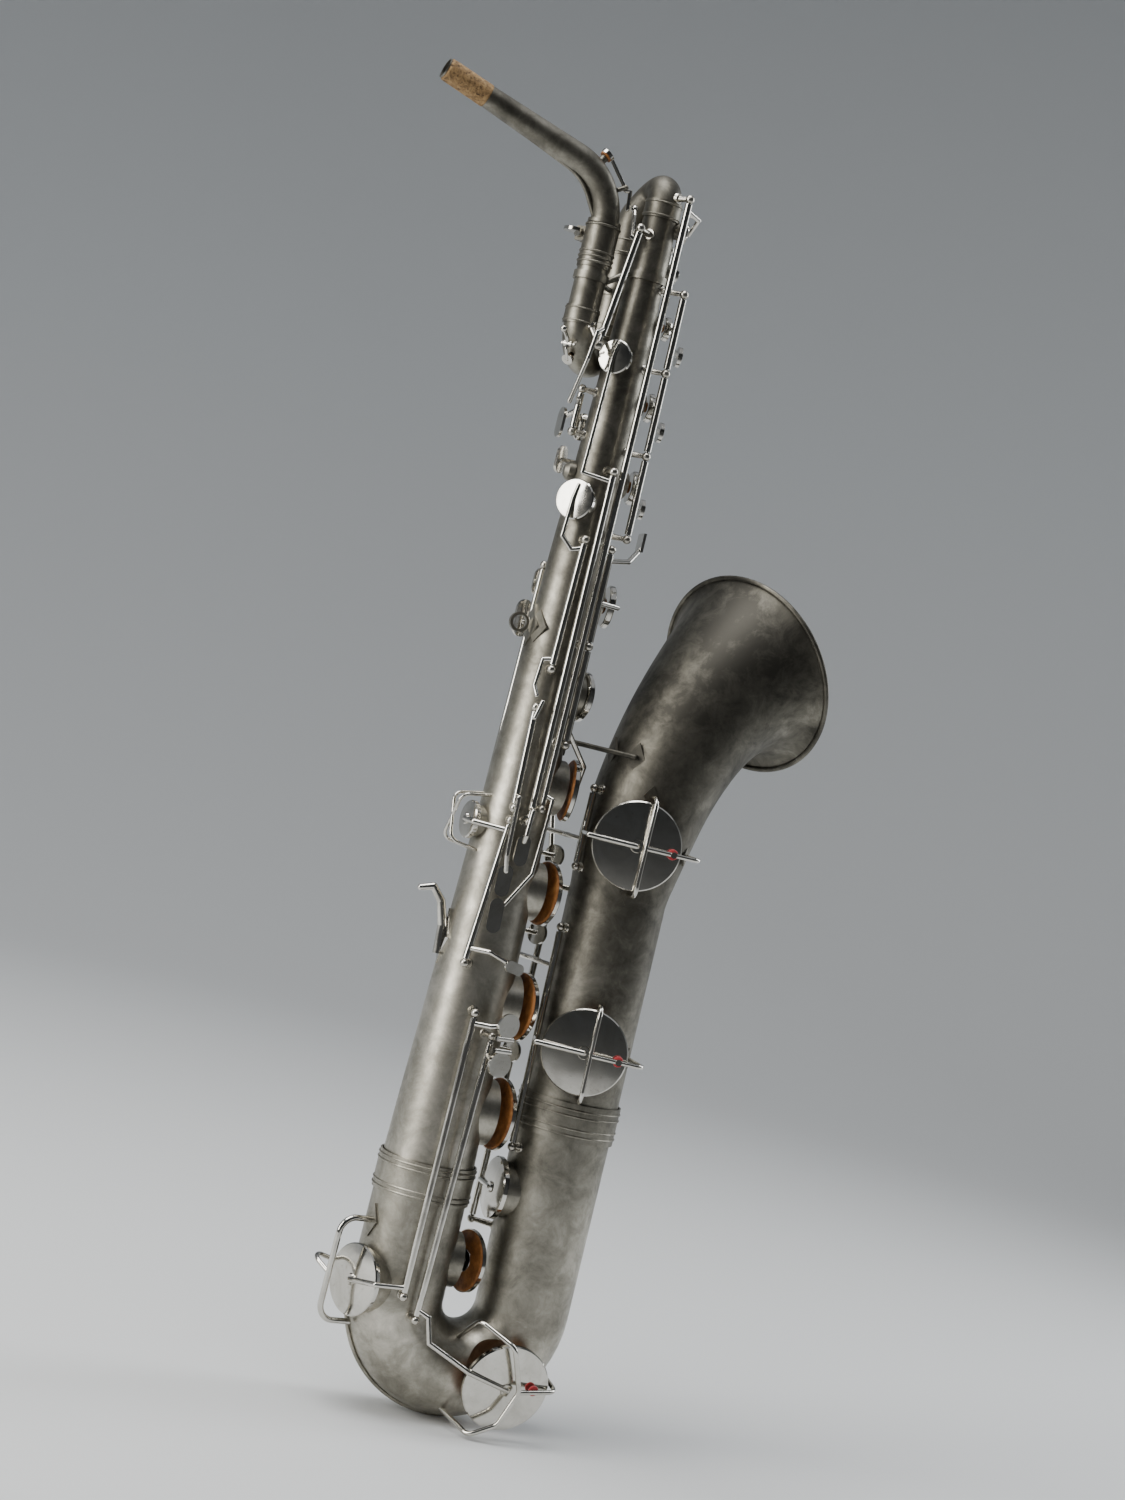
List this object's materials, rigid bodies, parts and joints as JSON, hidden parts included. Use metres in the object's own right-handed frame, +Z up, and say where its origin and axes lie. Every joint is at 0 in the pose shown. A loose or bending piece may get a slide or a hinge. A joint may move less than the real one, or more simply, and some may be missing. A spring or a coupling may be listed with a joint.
{
  "type": "saxophone",
  "caption": "Vintage low B flat baritone saxophone in aged silver finish, with working hinged keys, turning neck and no mouthpiece.",
  "frame": {"origin": "centre of the strap ring's bore, at the back of the body tube", "axes": "+Z up along the body tube, +X forward from the strap ring to the body tube and the bell tube, +Y to the player's left along the strap ring's bore"},
  "size_m": [0.4284, 0.1818, 1.0183],
  "materials": {
    "aged_silver": "satin, worn and darkly toned silver plate",
    "key_silver": "polished nickel silver, lightly toned",
    "steel": "bright steel",
    "pad_leather": "matte orange-brown leather",
    "cork": "speckled cork",
    "felt": "red felt"
  },
  "bodies": {
    "horn_body": {"bell": "aged_silver", "bell_brace": "aged_silver", "body_tube": "aged_silver", "bow": "aged_silver", "bow_guard": "aged_silver", "ferrules": "aged_silver", "loop_bracket": "aged_silver", "loop_fall_tube": "aged_silver", "loop_low_bend": "aged_silver", "loop_rise_tube": "aged_silver", "neck_receiver": "aged_silver", "posts": "aged_silver", "strap_ring": "aged_silver", "thumb_hook": "aged_silver", "thumb_rest": "aged_silver", "top_bow": "aged_silver", "hinge_steels": "steel", "key_guards": "key_silver", "water_key_saddle": "key_silver", "felt_bumpers": "felt"},
    "neck": {"neck_tube": "aged_silver", "neck_cork": "cork"},
    "clamp_screw": {"receiver_screw": "key_silver"},
    "high_e_key": {"high_e_key": "key_silver"},
    "side_c_key": {"side_c_key": "key_silver"},
    "side_b_flat_key": {"side_b_flat_key": "key_silver"},
    "side_b_flat_lever": {"side_b_flat_lever": "key_silver"},
    "b_key": {"b_key": "key_silver"},
    "a_key": {"a_key": "key_silver"},
    "c_key": {"c_key": "key_silver"},
    "g_key": {"g_key": "key_silver"},
    "g_sharp_key": {"g_sharp_key": "key_silver"},
    "f_sharp_key": {"f_sharp_key": "key_silver", "f_sharp_pad": "pad_leather"},
    "f_key": {"f_key": "key_silver", "f_pad": "pad_leather"},
    "e_key": {"e_key": "key_silver", "e_pad": "pad_leather"},
    "d_key": {"d_key": "key_silver", "d_pad": "pad_leather"},
    "fork_e_flat_key": {"fork_e_flat_key": "key_silver", "fork_e_flat_pad": "pad_leather"},
    "f_sharp_trill_key": {"f_sharp_trill_key": "key_silver"},
    "low_e_flat_key": {"low_e_flat_key": "key_silver"},
    "low_c_key": {"low_c_key": "key_silver", "low_c_pad": "pad_leather"},
    "low_b_key": {"low_b_key": "key_silver", "low_b_pad": "pad_leather"},
    "low_b_flat_key": {"low_b_flat_key": "key_silver", "low_b_flat_pad": "pad_leather"},
    "low_c_sharp_key": {"low_c_sharp_key": "key_silver"},
    "low_b_lever": {"low_b_lever": "key_silver"},
    "low_b_flat_lever": {"low_b_flat_lever": "key_silver"},
    "palm_f_key": {"palm_f_key": "key_silver"},
    "palm_e_flat_key": {"palm_e_flat_key": "key_silver"},
    "palm_d_key": {"palm_d_key": "key_silver"},
    "octave_rod_key": {"octave_rod_key": "key_silver"},
    "octave_thumb_key": {"octave_thumb_key": "key_silver"},
    "neck_octave_key": {"neck_octave_key": "key_silver"},
    "water_key": {"water_key": "key_silver"}
  },
  "joints": [
    {"name": "neck_swivel", "type": "hinge", "parent": "horn_body", "child": "neck", "pos_m": [-0.0125, -0.006, 0.3115], "axis": [0, 0, 1], "range_deg": [-15, 15]},
    {"name": "clamp_screw_turn", "type": "hinge", "parent": "horn_body", "child": "clamp_screw", "pos_m": [-0.02104, 0.0087, 0.3035], "axis": [-0.8645, -0.5026, 0], "range_deg": [-90, 90]},
    {"name": "high_e_key_hinge", "type": "hinge", "parent": "horn_body", "child": "high_e_key", "pos_m": [0.0415, -0.038, -0.1365], "axis": [-0.0091, -0.0354, -0.9993], "range_deg": [0, 9], "stiffness_Nm_per_rad": 0.12, "springref_deg": -20.05},
    {"name": "side_c_key_hinge", "type": "hinge", "parent": "horn_body", "child": "side_c_key", "pos_m": [0.0337, -0.0388, -0.1485], "axis": [0.0047, 0.0281, 0.9996], "range_deg": [0, 9], "stiffness_Nm_per_rad": 0.12, "springref_deg": -20.05},
    {"name": "side_b_flat_key_hinge", "type": "hinge", "parent": "horn_body", "child": "side_b_flat_key", "pos_m": [0.02317, -0.03378, -0.0305], "axis": [0.0246, 0.0245, 0.9994], "range_deg": [0, 9], "stiffness_Nm_per_rad": 0.05, "springref_deg": -20.05},
    {"name": "side_b_flat_lever_hinge", "type": "hinge", "parent": "horn_body", "child": "side_b_flat_lever", "pos_m": [0.019, -0.0387, -0.1405], "axis": [-0.0114, 0.0506, 0.9987], "range_deg": [0, 9], "stiffness_Nm_per_rad": 0.05, "springref_deg": -20.05},
    {"name": "b_key_hinge", "type": "hinge", "parent": "horn_body", "child": "b_key", "pos_m": [0.061, -0.0245, 0.0815], "axis": [-0.0077, 0.0128, 0.9999], "range_deg": [0, 9], "stiffness_Nm_per_rad": 0.05, "springref_deg": -20.05},
    {"name": "a_key_hinge", "type": "hinge", "parent": "horn_body", "child": "a_key", "pos_m": [0.061, -0.0245, 0.0815], "axis": [-0.0077, 0.0128, 0.9999], "range_deg": [0, 9], "stiffness_Nm_per_rad": 0.05, "springref_deg": -20.05},
    {"name": "c_key_hinge", "type": "hinge", "parent": "horn_body", "child": "c_key", "pos_m": [0.061, -0.0245, 0.0815], "axis": [-0.0077, 0.0128, 0.9999], "range_deg": [0, 9], "stiffness_Nm_per_rad": 0.05, "springref_deg": -20.05},
    {"name": "g_key_hinge", "type": "hinge", "parent": "horn_body", "child": "g_key", "pos_m": [0.04912, -0.0335, -0.0845], "axis": [0.0033, 0.0358, 0.9994], "range_deg": [0, 8], "stiffness_Nm_per_rad": 0.05, "springref_deg": -20.05},
    {"name": "g_sharp_key_hinge", "type": "hinge", "parent": "horn_body", "child": "g_sharp_key", "pos_m": [0.04841, 0.03349, -0.0745], "axis": [-0.0123, -0.0276, 0.9995], "range_deg": [0, 9], "stiffness_Nm_per_rad": 0.05, "springref_deg": -20.05},
    {"name": "f_sharp_key_hinge", "type": "hinge", "parent": "horn_body", "child": "f_sharp_key", "pos_m": [0.04912, -0.0335, -0.0845], "axis": [0.0033, 0.0358, 0.9994], "range_deg": [0, 8], "stiffness_Nm_per_rad": 0.05, "springref_deg": -20.05},
    {"name": "f_key_hinge", "type": "hinge", "parent": "horn_body", "child": "f_key", "pos_m": [0.06687, 0.03579, -0.4145], "axis": [0.0206, 0.0221, -0.9995], "range_deg": [0, 8], "stiffness_Nm_per_rad": 0.12, "springref_deg": -20.05},
    {"name": "e_key_hinge", "type": "hinge", "parent": "horn_body", "child": "e_key", "pos_m": [0.06687, 0.03579, -0.4145], "axis": [0.0206, 0.0221, -0.9995], "range_deg": [0, 8], "stiffness_Nm_per_rad": 0.12, "springref_deg": -20.05},
    {"name": "d_key_hinge", "type": "hinge", "parent": "horn_body", "child": "d_key", "pos_m": [0.06687, 0.03579, -0.4145], "axis": [0.0206, 0.0221, -0.9995], "range_deg": [0, 8], "stiffness_Nm_per_rad": 0.12, "springref_deg": -20.05},
    {"name": "fork_e_flat_key_hinge", "type": "hinge", "parent": "horn_body", "child": "fork_e_flat_key", "pos_m": [0.0715, 0.036, -0.5265], "axis": [0, 0, -1], "range_deg": [0, 13], "stiffness_Nm_per_rad": 0.05, "springref_deg": -20.05},
    {"name": "f_sharp_trill_key_hinge", "type": "hinge", "parent": "horn_body", "child": "f_sharp_trill_key", "pos_m": [0.0114, -0.0346, -0.2645], "axis": [0.0735, -0.007, 0.9973], "range_deg": [0, 8], "stiffness_Nm_per_rad": 0.05, "springref_deg": -20.05},
    {"name": "low_e_flat_key_hinge", "type": "hinge", "parent": "horn_body", "child": "low_e_flat_key", "pos_m": [0.0244, -0.0457, -0.5225], "axis": [0.0117, 0.0139, 0.9998], "range_deg": [0, 8], "stiffness_Nm_per_rad": 0.12, "springref_deg": -20.05},
    {"name": "low_c_key_hinge", "type": "hinge", "parent": "horn_body", "child": "low_c_key", "pos_m": [0.0381, -0.0464, -0.5385], "axis": [0.0312, 0.0201, 0.9993], "range_deg": [0, 4.2], "stiffness_Nm_per_rad": 0.12, "springref_deg": -20.05},
    {"name": "low_b_key_hinge", "type": "hinge", "parent": "horn_body", "child": "low_b_key", "pos_m": [0.0938, -0.012, -0.3995], "axis": [-0.0102, 0.0341, 0.9994], "range_deg": [0, 9], "stiffness_Nm_per_rad": 0.12, "springref_deg": -20.05},
    {"name": "low_b_flat_key_hinge", "type": "hinge", "parent": "horn_body", "child": "low_b_flat_key", "pos_m": [0.0911, -0.008, -0.1745], "axis": [-0.0127, -0.0159, 0.9998], "range_deg": [0, 9], "stiffness_Nm_per_rad": 0.12, "springref_deg": -20.05},
    {"name": "low_c_sharp_key_hinge", "type": "hinge", "parent": "horn_body", "child": "low_c_sharp_key", "pos_m": [0.0915, 0.031, -0.4685], "axis": [0, 0, -1], "range_deg": [0, 7], "stiffness_Nm_per_rad": 0.12, "springref_deg": -20.05},
    {"name": "low_b_lever_hinge", "type": "hinge", "parent": "horn_body", "child": "low_b_lever", "pos_m": [0.03205, 0.04144, -0.2665], "axis": [-0.0011, 0.0302, -0.9995], "range_deg": [0, 4], "stiffness_Nm_per_rad": 0.12, "springref_deg": -20.05},
    {"name": "low_b_flat_lever_hinge", "type": "hinge", "parent": "horn_body", "child": "low_b_flat_lever", "pos_m": [0.01892, 0.03609, -0.1825], "axis": [0.0017, 0.0341, -0.9994], "range_deg": [0, 3.8], "stiffness_Nm_per_rad": 0.12, "springref_deg": -20.05},
    {"name": "palm_f_key_hinge", "type": "hinge", "parent": "horn_body", "child": "palm_f_key", "pos_m": [0.05319, 0.01538, 0.2785], "axis": [-0.0238, -0.0186, 0.9995], "range_deg": [0, 9], "stiffness_Nm_per_rad": 0.05, "springref_deg": -20.05},
    {"name": "palm_e_flat_key_hinge", "type": "hinge", "parent": "horn_body", "child": "palm_e_flat_key", "pos_m": [0.04043, 0.02779, 0.1575], "axis": [-0.0073, -0.0293, 0.9995], "range_deg": [0, 9], "stiffness_Nm_per_rad": 0.05, "springref_deg": -20.05},
    {"name": "palm_d_key_hinge", "type": "hinge", "parent": "horn_body", "child": "palm_d_key", "pos_m": [0.02936, 0.02944, 0.1215], "axis": [0.0042, -0.0299, 0.9995], "range_deg": [0, 10], "stiffness_Nm_per_rad": 0.05, "springref_deg": -20.05},
    {"name": "octave_rod_key_hinge", "type": "hinge", "parent": "horn_body", "child": "octave_rod_key", "pos_m": [0.0005, -0.0245, 0.2195], "axis": [0.1138, 0.0155, 0.9934], "range_deg": [0, 9], "stiffness_Nm_per_rad": 0.05, "springref_deg": -20.05},
    {"name": "octave_thumb_key_hinge", "type": "hinge", "parent": "horn_body", "child": "octave_thumb_key", "pos_m": [0.005, 0.0015, 0.1535], "axis": [0, 0, -1], "range_deg": [0, 9], "stiffness_Nm_per_rad": 0.05, "springref_deg": -20.05},
    {"name": "neck_octave_key_hinge", "type": "hinge", "parent": "neck", "child": "neck_octave_key", "pos_m": [-0.00386, -0.006, 0.34412], "axis": [0, 1, 0], "range_deg": [0, 8], "stiffness_Nm_per_rad": 0.03, "springref_deg": -20.05},
    {"name": "water_key_hinge", "type": "hinge", "parent": "horn_body", "child": "water_key", "pos_m": [-0.02012, -0.01404, 0.21552], "axis": [-0.726, 0.6877, 0], "range_deg": [0, 12], "stiffness_Nm_per_rad": 0.03, "springref_deg": -20.05}
  ],
  "couplings": [
    {"joint": "side_b_flat_key_hinge", "follows": "side_b_flat_lever_hinge", "ratio": 1},
    {"joint": "f_sharp_key_hinge", "follows": "f_key_hinge", "ratio": 1},
    {"joint": "fork_e_flat_key_hinge", "follows": "e_key_hinge", "ratio": 1.6},
    {"joint": "octave_rod_key_hinge", "follows": "octave_thumb_key_hinge", "ratio": 1},
    {"joint": "neck_octave_key_hinge", "follows": "octave_thumb_key_hinge", "ratio": 0.88},
    {"joint": "low_b_key_hinge", "follows": "low_b_lever_hinge", "ratio": 2.25},
    {"joint": "low_b_flat_key_hinge", "follows": "low_b_flat_lever_hinge", "ratio": 2.36}
  ]
}
